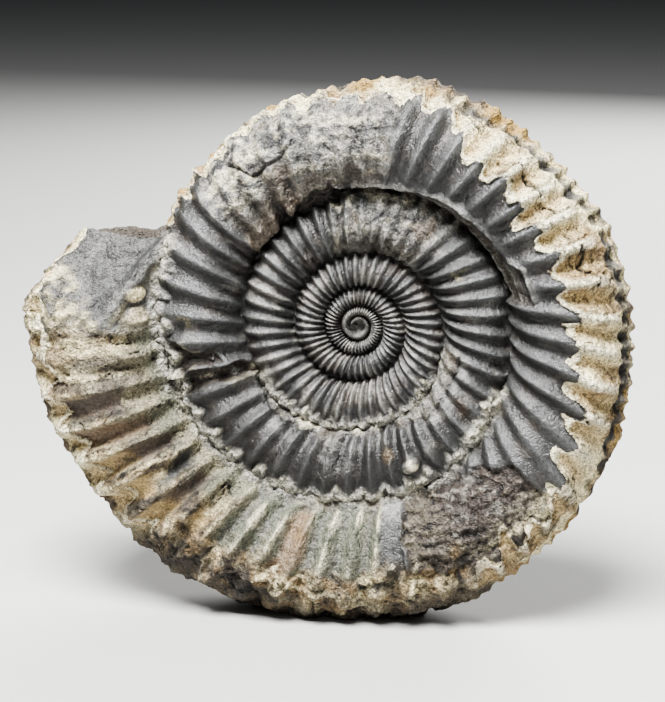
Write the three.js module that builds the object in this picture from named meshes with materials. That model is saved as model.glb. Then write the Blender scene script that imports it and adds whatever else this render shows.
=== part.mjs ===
import * as THREE from 'three';
import { mergeVertices } from 'three/addons/utils/BufferGeometryUtils.js';

// An ammonite fossil, Dactylioceras, in millimetres with +Z up. The coil lies in the XZ plane, its
// better side faces -Y, and it stands on edge on a small flat spot, with the origin under its middle.
// Places on the shell are given by three numbers: t, the turns back from the broken mouth; v, how far
// across the flank (0 at the inner seam, 1 at the outer seam, 1.5 on the rim, 2 and 3 at the back's outer
// and inner seam); and the azimuth, in degrees counterclockwise from +X seen from the front.

// The coil
const MOUTH_RADIUS = 53.4;
const MOUTH_AZIMUTH = 157;
const SHRINK = 0.48;
const SHRINK_GROWTH = 0.0215;
const TURNS = 5.5;
const AXIS_X = 5.5;
const AXIS_Y = -0.495;
const AXIS_Z = 45;

// The tube's cross-section
const SEAM_RATIO = 0.965;
const WIDEST_AT = 0.48;
const CORE_HALF_WIDTH = 2;
const HALF_WIDTH_RATIO = 0.18;

// The ribs, and how many lie between the mouth and some angles back from it, in degrees
const RIB_ANGLES = [0, 45, 122, 183, 282, 353, 456, 552, 607, 673, 714, 800, 933, 983, 1072, 2160];
const RIB_COUNTS = [-0.25, 6, 17, 25, 38, 47, 58, 69, 76, 85, 90, 100, 117, 124, 135, 269];
const RIB_LEAN = 3;
const RIM_LEAN = 0.8;
const RIB_HEIGHT_RATIO = 0.018;
const RIB_HEIGHT_AT_SEAM = 0.45;
const RIB_FULL_AT = 0.35;
const RIB_SPLIT_FROM = 0.8;
const RIB_SPLIT_TO = 1.25;
const SPLIT_RIB_HEIGHT = 0.6;
const RIBBED_TURNS = 3.5;

// Unevenness in millimetres, on the outermost whorl and on those inside it
const ROUGHNESS = 0.22;
const INNER_ROUGHNESS = 0.08;

// The broken mouth: where it starts on the seam and on the rim, how much lower it is at the back, the
// line that cuts its outer corner, and the smooth facet that slopes from the front flank to its upper
// edge. The cuts bulge a little.
const BREAK_AT_SEAM = 154.5;
const BREAK_AT_RIM = 161.5;
const BREAK_AT_BACK = 8;
const BREAK_BLEND = 0.06;
const CORNER_DISTANCE = 40;
const CORNER_AZIMUTH = 139.5;
const FACET_AZIMUTH = 178;
const FACET_SLOPE = 31;
const FACET_EDGE_AT_BREAK = 0.05;
const FACET_EDGE_RISE = 0.017;
const FACET_DEPTH = 10.6;
const BROKEN_BULGE = 0.1;
const BROKEN_RING = 0.4;
const BROKEN_DEPTH = 0.8;
const BROKEN_ROUGHNESS = 0.9;

// The flat spot: whatever is lower than this is brought down or up to the ground
const FOOT_HEIGHT = 0.6;

// The mesh: rows across a flank and over the rim, and columns along the coil
const FLANK_ROWS = [0.13, 0.34, 0.58, 0.8];
const RIM_ROWS = [1.25, 1.5, 1.75];
const RIM_COLUMNS_PER_RIB = 4;
const FLANK_COLUMNS_PER_RIB = 2;
const SMOOTH_COLUMNS_PER_TURN = 32;
const TINY = 1e-6;

// Worn, crusted and broken places: azimuth and half its reach in degrees, v and half its reach, and
// how far the surface stands out there in millimetres (a minus sign makes a hollow). whorl counts
// from the outermost, 0. ribs is what is left of the ribs there.
const PLACES = [
  { whorl: 0, azimuth: 168, reach: 10, v: 0.75, across: 0.6, height: 0, ribs: 0 },
  { whorl: 0, azimuth: 174, reach: 3, v: 0.16, across: 0.1, height: 0.8, ribs: 0.5 },
  { whorl: 0, azimuth: 195.7, reach: 2.4, v: 0.7, across: 0.4, height: -0.9, ribs: 1 },
  { whorl: 0, azimuth: 203.4, reach: 2.4, v: 0.7, across: 0.4, height: -0.9, ribs: 1 },
  { whorl: 0, azimuth: 210.2, reach: 2.4, v: 0.7, across: 0.4, height: -0.9, ribs: 1 },
  { whorl: 0, azimuth: 216.7, reach: 2.4, v: 0.7, across: 0.4, height: -0.9, ribs: 1 },
  { whorl: 0, azimuth: 306, reach: 19, v: 0.4, across: 0.36, height: -1, ribs: 0.05 },
  { whorl: 0, azimuth: 98, reach: 17, v: 0.6, across: 0.5, height: 0.2, ribs: 0.4 },
  { whorl: 0, azimuth: 20, reach: 75, v: 1.2, across: 0.35, height: 0.5, ribs: 0.8 },
  { whorl: 0, azimuth: 78, reach: 21, v: 1.5, across: 0.45, height: 1.1, ribs: 0.7 },
  { whorl: 0, azimuth: 266, reach: 34, v: 1.15, across: 0.35, height: 0.7, ribs: 0.7 },
  { whorl: 0, azimuth: 266, reach: 34, v: 1.85, across: 0.35, height: 0.7, ribs: 0.7 },
  { whorl: 0, azimuth: 250, reach: 95, v: 0.1, across: 0.1, height: 0.5, ribs: 0.6 },
  { whorl: 0, azimuth: 42, reach: 38, v: 0.13, across: 0.12, height: 0.8, ribs: 0.5 },
  { whorl: 0, azimuth: 40, reach: 70, v: 2.3, across: 0.6, height: 0.4, ribs: 0.6 },
  { whorl: 1, azimuth: 105, reach: 30, v: 1, across: 0.2, height: -0.8, ribs: 0.6 },
  { whorl: 1, azimuth: 193, reach: 3.6, v: 0.5, across: 0.5, height: -1, ribs: 1 },
  { whorl: 1, azimuth: 202, reach: 3.4, v: 0.5, across: 0.5, height: -1, ribs: 1 },
  { whorl: 1, azimuth: 295, reach: 5, v: 0.65, across: 0.12, height: 0.7, ribs: 0.5 },
  { whorl: 1, azimuth: 285, reach: 55, v: 0.1, across: 0.2, height: 0.6, ribs: 0.5 },
  { whorl: 1, azimuth: 85, reach: 32, v: 0.45, across: 0.4, height: 0.1, ribs: 0.55 },
];

const degrees = THREE.MathUtils.degToRad;
const { lerp, smoothstep } = THREE.MathUtils;

function outerRadius(t) {
  return MOUTH_RADIUS * Math.exp(-SHRINK * t - SHRINK_GROWTH * t * t);
}

function halfWidth(t) {
  return CORE_HALF_WIDTH + HALF_WIDTH_RATIO * outerRadius(t);
}

// The tube's section at t: its seam and middle radii, and the angle of the outer seam on its outline
function section(t) {
  const outer = outerRadius(t);
  const inner = SEAM_RATIO * outerRadius(t + 1);
  const middle = lerp(inner, outer, WIDEST_AT);
  const outward = outer - middle;
  const seamAngle = Math.acos(1 - (1 - SEAM_RATIO) * outer / outward);
  return { outer, inner, middle, outward, seamAngle, width: halfWidth(t) };
}

// The value that goes with x, on straight lines between pairs from two lists
function between(x, xs, values) {
  const i = Math.max(1, Math.min(xs.findIndex((each) => each >= x), xs.length - 1));
  return lerp(values[i - 1], values[i], (x - xs[i - 1]) / (xs[i] - xs[i - 1]));
}

function ribsBefore(t) {
  return between(360 * t, RIB_ANGLES, RIB_COUNTS);
}

function turnOfRib(rib) {
  return between(rib, RIB_COUNTS, RIB_ANGLES) / 360;
}

// v counted from the nearer side's inner seam
function fromSeam(v) {
  return v > 1.5 ? 3 - v : v;
}

// Each flank rib is one ridge, and splits in two on its way to the rim
function ribShape(t, v) {
  const phase = 2 * Math.PI * ribsBefore(t);
  const split = smoothstep(fromSeam(v), RIB_SPLIT_FROM, RIB_SPLIT_TO);
  return (1 - split) * Math.cos(phase) - SPLIT_RIB_HEIGHT * split * Math.cos(2 * phase);
}

// How far the whole row leans towards the mouth, and how the first columns follow the break instead
function azimuthOf(t, v) {
  const across = fromSeam(v);
  const lean = RIB_LEAN * Math.min(across, 1) + RIM_LEAN * smoothstep(across, 1, 1.5);
  const outwards = 1 - (1 - Math.min(across, 1)) ** 3;
  const behind = BREAK_AT_BACK * smoothstep(v, 1.2, 2.2);
  const broken = lerp(BREAK_AT_SEAM, BREAK_AT_RIM, outwards) + behind - MOUTH_AZIMUTH;
  const follow = Math.exp(-t / BREAK_BLEND);
  return MOUTH_AZIMUTH + 360 * t - lean * (1 - follow) + broken * follow;
}

function nearness(place, whorl, azimuth, v) {
  if (place.whorl !== whorl) {
    return 0;
  }
  const turned = THREE.MathUtils.euclideanModulo(azimuth - place.azimuth + 180, 360) - 180;
  const away = Math.hypot(turned / place.reach, (v - place.v) / place.across);
  return 1 - smoothstep(away, 0.7, 1.15);
}

// Natural unevenness, from crossing waves
function unevenness(x, y, z) {
  const first = Math.sin(0.9 * x + 1.3 * Math.sin(0.7 * z));
  const second = Math.sin(1.1 * z + 0.8 * y + 2 * Math.sin(0.31 * x));
  return first * second;
}

function relief(t, v, azimuth, x, y, z) {
  const whorl = Math.min(Math.floor(t), 2);
  let standing = 0;
  let ribs = t < RIBBED_TURNS ? 1 : 0;
  for (const place of PLACES) {
    const near = nearness(place, whorl, azimuth, v);
    standing += near * place.height;
    ribs *= lerp(1, place.ribs, near);
  }
  const fade = lerp(RIB_HEIGHT_AT_SEAM, 1, smoothstep(fromSeam(v), 0, RIB_FULL_AT));
  const ribHeight = RIB_HEIGHT_RATIO * outerRadius(t) * fade * ribs * ribShape(t, v);
  const rough = (whorl === 0 ? ROUGHNESS : INNER_ROUGHNESS) * unevenness(x, y, z);
  return ribHeight + standing + rough;
}

// The outer corner of the mouth is broken off along a straight line seen from the front
function cornerRadius(azimuth) {
  const turned = degrees(azimuth - CORNER_AZIMUTH);
  return Math.cos(turned) > 0.5 ? CORNER_DISTANCE / Math.cos(turned) : Infinity;
}

// The facet beside the mouth cuts the front flank down on a slope. Its lower edge runs slantwise
// away from the seam.
function facetDepth(azimuth, radius, v) {
  const past = Math.max(0, FACET_AZIMUTH - azimuth);
  const along = degrees(past) * radius;
  const edge = FACET_EDGE_AT_BREAK + FACET_EDGE_RISE * (azimuth - BREAK_AT_RIM);
  const share = smoothstep(v, edge, edge + 0.2);
  return FACET_DEPTH - share * along * Math.tan(degrees(FACET_SLOPE));
}

function cutTo(value, limit) {
  return value > limit ? limit + BROKEN_BULGE * (value - limit) : value;
}

// A point of the surface. The outline of a section runs from the inner seam over the widest place and
// the rim to the back, and every bump stands off it along its own normal.
function surfacePoint(t, v) {
  const here = section(t);
  const below = section(t + 1);
  const seamDepth = below.width * Math.sin(below.seamAngle);
  const innerAngle = Math.PI - Math.asin(seamDepth / here.width);
  const inward = (here.inner - here.middle) / Math.cos(innerAngle);
  const back = v > 1.5;
  const across = fromSeam(v);
  const flankAngle = lerp(innerAngle, here.seamAngle, across);
  const angle = across <= 1 ? flankAngle : here.seamAngle * (3 - 2 * across);
  const reach = angle > Math.PI / 2 ? inward : here.outward;
  const azimuth = azimuthOf(t, v);
  const right = Math.cos(degrees(azimuth));
  const up = Math.sin(degrees(azimuth));
  let radius = here.middle + reach * Math.cos(angle);
  let depth = here.width * Math.sin(angle);
  const bump = relief(t, v, azimuth, radius * right, depth, radius * up);
  const normal = new THREE.Vector2(Math.cos(angle) / reach, Math.sin(angle) / here.width).normalize();
  radius += bump * normal.x;
  depth += bump * normal.y;
  if (t < 1) {
    radius = cutTo(radius, cornerRadius(azimuth));
  }
  if (t < 0.1 && !back) {
    depth = cutTo(depth, facetDepth(azimuth, radius, v));
  }
  const y = AXIS_Y + (back ? depth : -depth);
  const z = AXIS_Z + radius * up;
  return new THREE.Vector3(AXIS_X + radius * right, y, z < FOOT_HEIGHT ? 0 : z);
}

// Columns along the coil, as values of t, from one t to another. They fall on crests and grooves.
function columns(from, to, perRib) {
  const list = [from];
  const last = ribsBefore(to) * perRib - TINY;
  for (let step = Math.ceil(ribsBefore(from) * perRib + TINY); step < last; step++) {
    list.push(turnOfRib(step / perRib));
  }
  return list;
}

function smoothColumns(from, to) {
  const count = Math.round((to - from) * SMOOTH_COLUMNS_PER_TURN);
  return Array.from({ length: count + 1 }, (_, i) => lerp(from, to, i / count));
}

const OUTER_FLANK = columns(0, 1, FLANK_COLUMNS_PER_RIB);
const OUTER_RIM = columns(0, 1, RIM_COLUMNS_PER_RIB);
const INNER_WHORLS = [
  ...columns(1, RIBBED_TURNS, FLANK_COLUMNS_PER_RIB),
  ...smoothColumns(RIBBED_TURNS, TURNS),
];

function row(v, turns) {
  return turns.map((t) => ({ t, azimuth: azimuthOf(t, v), point: surfacePoint(t, v) }));
}

const triangles = [];

function addTriangle(a, b, c, flip) {
  if (a.equals(b) || b.equals(c) || c.equals(a)) {
    return;
  }
  triangles.push(...(flip ? [a, b, c] : [a, c, b]));
}

// Joins two rows that run side by side, always taking the shorter step next
function zip(lower, upper, key, flip) {
  let i = 0;
  let j = 0;
  while (i < lower.length - 1 || j < upper.length - 1) {
    const stepLower = i < lower.length - 1 ? key(lower[i + 1]) : Infinity;
    const stepUpper = j < upper.length - 1 ? key(upper[j + 1]) : Infinity;
    if (stepLower <= stepUpper) {
      addTriangle(lower[i].point, lower[i + 1].point, upper[j].point, flip);
      i += 1;
    } else {
      addTriangle(upper[j].point, lower[i].point, upper[j + 1].point, flip);
      j += 1;
    }
  }
}

const byTurn = (vertex) => vertex.t;
const byV = (vertex) => vertex.v;
const byAzimuth = (vertex) => vertex.azimuth;
const before = (vertices, t) => vertices.filter((vertex) => vertex.t <= t + TINY);
const after = (vertices, t) => vertices.filter((vertex) => vertex.t >= t - TINY);

// One side's flank: its rows, the seam that each whorl shares with the one inside it, and the middle
function addFlank(mirror) {
  const at = (v) => (mirror ? 3 - v : v);
  const rows = FLANK_ROWS.map((v) => row(at(v), [...OUTER_FLANK, ...INNER_WHORLS]));
  const outerRow = row(at(1), [...OUTER_RIM, ...INNER_WHORLS]);
  const seam = after(outerRow, 1).map((vertex) => ({ ...vertex, azimuth: vertex.azimuth - 360 }));
  zip(seam, before(rows[0], TURNS - 1), byAzimuth, mirror);
  for (let i = 0; i < rows.length - 1; i++) {
    zip(rows[i], rows[i + 1], byTurn, mirror);
  }
  zip(rows.at(-1), outerRow, byTurn, mirror);
  const lastColumn = [...rows.slice(1), outerRow].map((each) => each.at(-1));
  addMiddle([...after(rows[0], TURNS - 1), ...lastColumn], mirror);
}

// The innermost turn closes on one point at the coil's axis
function addMiddle(edge, mirror) {
  const depth = halfWidth(TURNS);
  const centre = new THREE.Vector3(AXIS_X, AXIS_Y + (mirror ? depth : -depth), AXIS_Z);
  edge.forEach((vertex, i) => {
    const next = edge[(i + 1) % edge.length];
    addTriangle(centre, vertex.point, next.point, !mirror);
  });
}

function addRim() {
  const rows = [1, ...RIM_ROWS, 2].map((v) => row(v, [...OUTER_RIM, 1]));
  for (let i = 0; i < rows.length - 1; i++) {
    zip(rows[i], rows[i + 1], byTurn, false);
  }
}

// The broken face of the mouth, from its edge down to the rim of the whorl inside it
function addMouth() {
  const front = [...FLANK_ROWS, 1];
  const edgeRows = [...front, ...RIM_ROWS, ...front.toReversed().map((v) => 3 - v)];
  const floor = [1, ...RIM_ROWS, 2].map((v) => ({ v: (v - 1) * 3, point: surfacePoint(1, v) }));
  const edge = edgeRows.map((v) => ({ v, point: surfacePoint(0, v) }));
  const closed = (points) => [floor[0], ...points, floor.at(-1)];
  const ring = closed(edge.map(brokenPoint));
  zip(ring, closed(edge), byV, true);
  zip(floor, ring, byV, true);
}

// Partway from the mouth's edge to the middle of its broken face, sunk unevenly into the tube
function brokenPoint(vertex) {
  const { middle } = section(0);
  const azimuth = degrees(BREAK_AT_RIM);
  const centre = new THREE.Vector3(middle * Math.cos(azimuth), 0, middle * Math.sin(azimuth));
  centre.add(new THREE.Vector3(AXIS_X, AXIS_Y, AXIS_Z));
  const point = vertex.point.clone().lerp(centre, BROKEN_RING);
  const sunk = BROKEN_DEPTH + BROKEN_ROUGHNESS * unevenness(2 * point.x, point.y, 2 * point.z);
  point.x -= sunk * Math.sin(azimuth);
  point.z += sunk * Math.cos(azimuth);
  return { v: vertex.v, point };
}

function ammoniteGeometry() {
  addFlank(false);
  addFlank(true);
  addRim();
  addMouth();
  const geometry = new THREE.BufferGeometry().setFromPoints(triangles);
  return mergeVertices(geometry, 1e-3);
}

const stone = new THREE.MeshStandardMaterial({ color: 0x77736a, roughness: 0.62, metalness: 0 });
const ammonite = new THREE.Mesh(ammoniteGeometry(), stone);
ammonite.name = 'ammonite';

const fossil = new THREE.Group();
fossil.name = 'dactylioceras_ammonite';
fossil.add(ammonite);

export default fossil;
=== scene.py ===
"""A Dactylioceras ammonite that stands on edge, built around the CAD model's frame.

The shell is one closed mesh. It is laid out along the coil in millimetres, every rib, break and crust
stands off it along its own normal, and the result is thinned and scaled to metres. Places on the shell
are given as in the CAD source: t is the number of turns back from the broken mouth, and v runs across
the flank, 0 at the inner seam, 1 at the outer seam, 1.5 on the rim, 2 and 3 at the back's two seams.
Angles along a whorl are in degrees from MOUTH_AZIMUTH, where t is whole, up to one turn more.
"""

import math

import bpy
import numpy as np
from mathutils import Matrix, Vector


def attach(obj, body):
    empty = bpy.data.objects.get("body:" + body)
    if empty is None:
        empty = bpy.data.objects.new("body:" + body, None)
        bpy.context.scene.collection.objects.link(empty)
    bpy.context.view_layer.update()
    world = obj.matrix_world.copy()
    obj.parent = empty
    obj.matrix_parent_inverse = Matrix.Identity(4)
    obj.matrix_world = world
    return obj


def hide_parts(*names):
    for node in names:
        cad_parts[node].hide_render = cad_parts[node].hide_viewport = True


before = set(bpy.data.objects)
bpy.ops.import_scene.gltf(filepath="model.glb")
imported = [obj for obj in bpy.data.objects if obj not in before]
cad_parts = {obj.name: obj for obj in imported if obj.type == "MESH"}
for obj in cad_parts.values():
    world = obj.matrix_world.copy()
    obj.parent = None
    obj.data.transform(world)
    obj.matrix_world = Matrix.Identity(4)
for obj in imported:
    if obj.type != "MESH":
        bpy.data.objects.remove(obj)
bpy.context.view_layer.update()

MM = 0.001

# The coil and the tube's section, as in the CAD source, in millimetres
MOUTH_RADIUS = 53.4
MOUTH_AZIMUTH = 157
SHRINK = 0.48
SHRINK_GROWTH = 0.0215
TURNS = 6
AXIS = np.array([5.5, -0.495, 45.0])
SEAM_RATIO = 0.965
WIDEST_AT = 0.48
CORE_HALF_WIDTH = 2
HALF_WIDTH_RATIO = 0.18

# Ribs: how many lie between the mouth and some angles back from it
RIB_ANGLES = (0, 45, 122, 183, 282, 353, 456, 552, 607, 673, 714, 800, 933, 983, 1072, 2160)
RIB_COUNTS = (-0.25, 6, 17, 25, 38, 47, 58, 69, 76, 85, 90, 100, 117, 124, 135, 269)

# How many degrees the ribs slant across the flank at some angles, on the outermost whorl and on those
# inside it, and how far the inner ones bow
SLANT_ANGLES = (225, 240, 280, 300, 320, 345, 372, 388)
SLANTS = (0, 4, 2, 7, 12, 6, 5, 0)
INNER_SLANT_ANGLES = (300, 340, 395, 410, 470, 517)
INNER_SLANTS = (0, 6, 7, 1, -3, -3)
INNER_BOW = 1.5
RIB_MIDDLE = 0.45

# The lean of every row across the shell, in degrees, and the height and shape of the ribs
RIB_LEAN = 3
RIM_LEAN = 0.8
RIB_CURVE = 1.2
RIB_HEIGHT_RATIO = 0.016
LEAST_RIB_HEIGHT = 0.1
RIB_ROUNDING = 0.42
SPLIT_RIB_HEIGHT = 0.5

# The broken mouth
BREAK_AT_SEAM = 154.5
BREAK_AT_RIM = 161.5
BREAK_AT_BACK = 8
BREAK_BLEND = 0.06
CORNER_DISTANCE = 40
CORNER_AZIMUTH = 139.5
FACET_AZIMUTH = 178
FACET_SLOPE = 31
FACET_EDGE_AT_BREAK = 0.05
FACET_EDGE_RISE = 0.017
FACET_DEPTH = 10.6
BROKEN_BULGE = 0.1

# The mesh before thinning, and how many triangles are left of it
DETAIL = 1
COLUMNS_PER_TURN = (1080, 800, 560, 400, 320, 240)
FRONT_ROWS = 96
RIM_ROWS = 110
BACK_ROWS = 50
MOUTH_RINGS = 40
MAX_TRIANGLES = 196000

# Where the crust on the rim begins on the front, as angles and v
CRUST_ANGLES = (237, 250, 270, 287, 300, 327, 340, 350, 375, 385, 412, 420, 425, 430, 445, 517)
CRUST_EDGES = (0.8, 0.66, 0.64, 0.64, 0.8, 0.74, 0.72, 0.66,
               0.58, 0.6, 0.62, 0.66, 0.82, 0.97, 1.03, 1.08)

# About how many degrees along the outer whorl are as long as one step of v across it
DEGREES_PER_V = 28


def colour(red, green, blue):
    """A linear colour from the 0 to 255 values that a screen shows."""
    def linear(value):
        value = value / 255
        return value / 12.92 if value <= 0.04045 else ((value + 0.055) / 1.055) ** 2.4
    return np.array((linear(red), linear(green), linear(blue), 1.0))


# The stone's and the crust's colours
GRAPHITE = colour(56, 56, 55)
PEWTER = colour(112, 114, 115)
DARK = colour(28, 26, 24)
GREY = colour(84, 83, 80)
PALE_GREY = colour(118, 117, 112)
LIGHT_GREY = colour(150, 148, 140)
CREAM_GREY = colour(130, 124, 103)
PALE_CREAM = colour(206, 199, 174)
CREAM = colour(214, 202, 164)
CUP_TAN = colour(188, 167, 126)
TAN = colour(142, 120, 84)
ORANGE_TAN = colour(128, 102, 72)
OCHRE = colour(152, 126, 74)
SAND = colour(168, 146, 104)
BROWN_SAND = colour(120, 102, 82)
MAUVE_BROWN = colour(92, 80, 69)
GREEN_GREY = colour(98, 101, 86)
PINK_GREY = colour(105, 94, 82)
PURPLE_BROWN = colour(62, 53, 46)
BROWN = colour(72, 56, 44)
BROWN_GREY = colour(70, 62, 52)
DARK_BROWN = colour(34, 28, 24)

# The smooth hollows between the broken ribs: rib count at the middle, v from and to, and colour
HOLLOWS = (
    (5.45, 0.36, 0.84, MAUVE_BROWN),
    (6.45, 0.36, 0.84, BROWN_SAND),
    (7.45, 0.28, 0.6, MAUVE_BROWN),
    (7.45, 0.57, 0.88, SAND),
    (8.45, 0.16, 0.44, GRAPHITE),
    (8.45, 0.5, 0.82, SAND),
    (9.4, 0.22, 0.56, MAUVE_BROWN),
    (9.4, 0.53, 0.82, SAND),
    (10.45, 0.46, 0.9, SAND),
)

# Small marks on the second whorl: middle as an angle and v, half the length in degrees, and colour
MARKS = (
    (180, 0.62, 3, CREAM_GREY),
    (201, 0.25, 3, PALE_GREY),
    (262, 0.5, 8, PALE_GREY),
    (287.5, 0.45, 3, TAN),
    (329, 0.55, 5, BROWN),
    (392, 0.6, 4, CREAM_GREY),
    (420, 0.75, 6, PINK_GREY),
    (484, 0.2, 6, PURPLE_BROWN),
)

# The lip along the top seam: angles, and v at which it stands
LIP_ANGLES = (373, 384, 388, 417, 427, 437, 453, 459)
LIP_PLACES = (0.37, 0.38, 0.29, 0.28, 0.23, 0.2, 0.18, 0.22)

# The stone's grain: sizes and height in millimetres, and how glossy it is
SMALL_GRAIN = 0.5
FINE_GRAIN = 0.28
LEDGE_SIZE = 2.4
LEDGE_STEPS = 11.0
NOISE_ROUGHNESS = 0.6
BUMP_HEIGHT = 0.35
STONE_IOR = 1.7
LEAST_ROUGHNESS = 0.27
MATTE_ROUGHNESS = 0.5

# Floor and light
FLOOR_SIZE = 6
FLOOR_GREY = (0.42, 0.42, 0.41, 1)
FLOOR_ROUGHNESS = 0.8
WORLD_COLOUR = (0.9, 0.95, 1.0, 1)
WORLD_STRENGTH = 0.06
LIGHT_AIM = (0, 0, 0.04)

# The camera, at the photo's angle. Angles are in degrees, lengths in metres.
CAMERA_AZIMUTH = 11
CAMERA_ELEVATION = 12
CAMERA_DISTANCE = 0.33
CAMERA_TARGET = Vector((0.0012, -0.0004, 0.0406))
FOCAL_PIXELS = 2180
PHOTO_WIDTH = 665


def ramp(x, low, high):
    """0 below low, 1 above high, and smooth between them."""
    share = np.clip((x - low) / (high - low), 0, 1)
    return share * share * (3 - 2 * share)


def window(x, low, high, soft):
    """1 between low and high, with soft edges."""
    return ramp(x, low - soft, low + soft) * (1 - ramp(x, high - soft, high + soft))


def bell(x, width):
    """1 where x is 0, falling off within about the width on both sides."""
    return np.exp(-(x / width) ** 2)


def mix(a, b, share):
    return a + (b - a) * share


def soft_noise(points, size, seed, octaves=1):
    """Smooth noise between about -1 and 1, with bumps of the given size."""
    total = np.zeros(len(points))
    weight = 1.0
    for octave in range(octaves):
        lattice = np.random.default_rng(seed + octave).uniform(-1, 1, (64, 64, 64))
        place = points * (2 ** octave / size)
        cell = np.floor(place).astype(int)
        inside = place - cell
        inside = inside * inside * (3 - 2 * inside)
        for corner in np.ndindex(2, 2, 2):
            at = (cell + corner) & 63
            share = np.prod(np.where(corner, inside, 1 - inside), axis=1)
            total += weight * share * lattice[at[:, 0], at[:, 1], at[:, 2]]
        weight *= 0.5
    return total


def cells(points, size, seed):
    """Distance to the nearest of scattered seeds and to the gap between two of them, in cell sizes."""
    jitter = np.random.default_rng(seed).uniform(0, 1, (32, 32, 32, 3))
    place = points / size
    cell = np.floor(place).astype(int)
    nearest = np.full(len(points), 9.0)
    second = np.full(len(points), 9.0)
    for step in np.ndindex(3, 3, 3):
        at = cell + step - 1
        seed_point = at + jitter[at[:, 0] & 31, at[:, 1] & 31, at[:, 2] & 31]
        away = np.linalg.norm(place - seed_point, axis=1)
        second = np.minimum(second, np.maximum(nearest, away))
        nearest = np.minimum(nearest, away)
    return nearest, second - nearest


def outer_radius(t):
    return MOUTH_RADIUS * np.exp(-SHRINK * t - SHRINK_GROWTH * t * t)


def section(t):
    """The tube's outline at t: seam and middle radii, reach outward, half width, outer seam's angle."""
    outer = outer_radius(t)
    inner = SEAM_RATIO * outer_radius(t + 1)
    middle = mix(inner, outer, WIDEST_AT)
    outward = outer - middle
    seam_angle = np.arccos(1 - (1 - SEAM_RATIO) * outer / outward)
    return inner, middle, outward, CORE_HALF_WIDTH + HALF_WIDTH_RATIO * outer, seam_angle


def from_seam(v):
    """v counted from the nearer side's inner seam."""
    return np.where(v > 1.5, 3 - v, v)


def azimuth_of(t, v):
    across = from_seam(v)
    lean = RIB_LEAN * np.minimum(across, 1) + RIM_LEAN * ramp(across, 1, 1.5)
    lean = lean - RIB_CURVE * (1 - np.minimum(across * 3, 1)) ** 2
    outwards = 1 - (1 - np.minimum(across, 1)) ** 3
    behind = BREAK_AT_BACK * ramp(v, 1.2, 2.2)
    broken = mix(BREAK_AT_SEAM, BREAK_AT_RIM, outwards) + behind - MOUTH_AZIMUTH
    follow = np.exp(-t / BREAK_BLEND)
    return MOUTH_AZIMUTH + 360 * t - lean * (1 - follow) + broken * follow


class Surface:
    """Points of the shell by their t and v, with their smooth place and normal in the tube's section."""

    def __init__(self, t, v):
        self.t = t
        self.v = v
        self.across = from_seam(v)
        self.back = v > 1.5
        self.whorl = np.floor(np.minimum(t, TURNS - 0.001)).astype(int)
        self.angle = MOUTH_AZIMUTH + 360 * (t - self.whorl)
        self.azimuth = np.radians(azimuth_of(t, v))
        inner, middle, outward, width, seam_angle = section(t)
        _, _, _, inner_width, inner_seam_angle = section(t + 1)
        seam_depth = inner_width * np.sin(inner_seam_angle)
        inner_angle = np.pi - np.arcsin(seam_depth / width)
        inward = (inner - middle) / np.cos(inner_angle)
        flank = mix(inner_angle, seam_angle, self.across)
        turned = np.where(self.across <= 1, flank, seam_angle * (3 - 2 * self.across))
        reach = np.where(turned > np.pi / 2, inward, outward)
        self.radius = middle + reach * np.cos(turned)
        self.depth = width * np.sin(turned)
        length = np.hypot(np.cos(turned) / reach, np.sin(turned) / width)
        self.out_radius = np.cos(turned) / reach / length
        self.out_depth = np.sin(turned) / width / length
        self.size = outer_radius(t)

    def points(self, height, chips=0.0):
        """Places in millimetres from the coil's axis. height is along the normal, chips are on the cuts."""
        radius = self.radius + height * self.out_radius
        depth = self.depth + height * self.out_depth
        azimuth = np.degrees(self.azimuth)
        radius = np.where(self.t < 1, cut_to(radius, corner_radius(azimuth) + 2 * chips), radius)
        sloped = cut_to(depth, facet_depth(azimuth, radius, self.v) + chips)
        depth = np.where((self.t < 0.1) & ~self.back, sloped, depth)
        y = np.where(self.back, depth, -depth)
        return np.stack([radius * np.cos(self.azimuth), y, radius * np.sin(self.azimuth)], axis=1)


def corner_radius(azimuth):
    """The mouth's outer corner is broken off along a straight line seen from the front."""
    turned = np.cos(np.radians(azimuth - CORNER_AZIMUTH))
    return np.where(turned > 0.5, CORNER_DISTANCE / np.maximum(turned, 0.5), 1e6)


def facet_depth(azimuth, radius, v):
    """The smooth facet beside the mouth slopes back from the front flank."""
    along = np.radians(np.maximum(0, FACET_AZIMUTH - azimuth)) * radius
    edge = FACET_EDGE_AT_BREAK + FACET_EDGE_RISE * (azimuth - BREAK_AT_RIM)
    share = ramp(v, edge, edge + 0.16)
    return FACET_DEPTH - share * along * math.tan(math.radians(FACET_SLOPE))


def cut_to(value, limit):
    return np.where(value > limit, limit + BROKEN_BULGE * (value - limit), value)


def ribs_before(t, whorl, across):
    """How many ribs lie between the mouth and each point, with the slant and bow of the ribs."""
    angle = MOUTH_AZIMUTH + 360 * (t - whorl)
    outer = np.interp(angle, SLANT_ANGLES, SLANTS)
    inner = np.interp(angle, INNER_SLANT_ANGLES, INNER_SLANTS)
    slant = np.where(whorl == 0, outer, inner)
    bow = np.where(whorl == 0, 0, INNER_BOW)
    middle = np.minimum(across, 1) - RIB_MIDDLE
    back = 360 * t + slant * middle + bow * (0.3 - 4 * middle ** 2)
    return np.interp(back, RIB_ANGLES, RIB_COUNTS)


def scallop(count):
    """Sharp crests, 1 high, at whole counts, with rounded hollows between them, -1 deep."""
    soft = RIB_ROUNDING
    away = np.sqrt(np.sin(np.pi * count) ** 2 + soft * soft) - soft
    return 1 - 2 * away / (math.hypot(1, soft) - soft)


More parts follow.
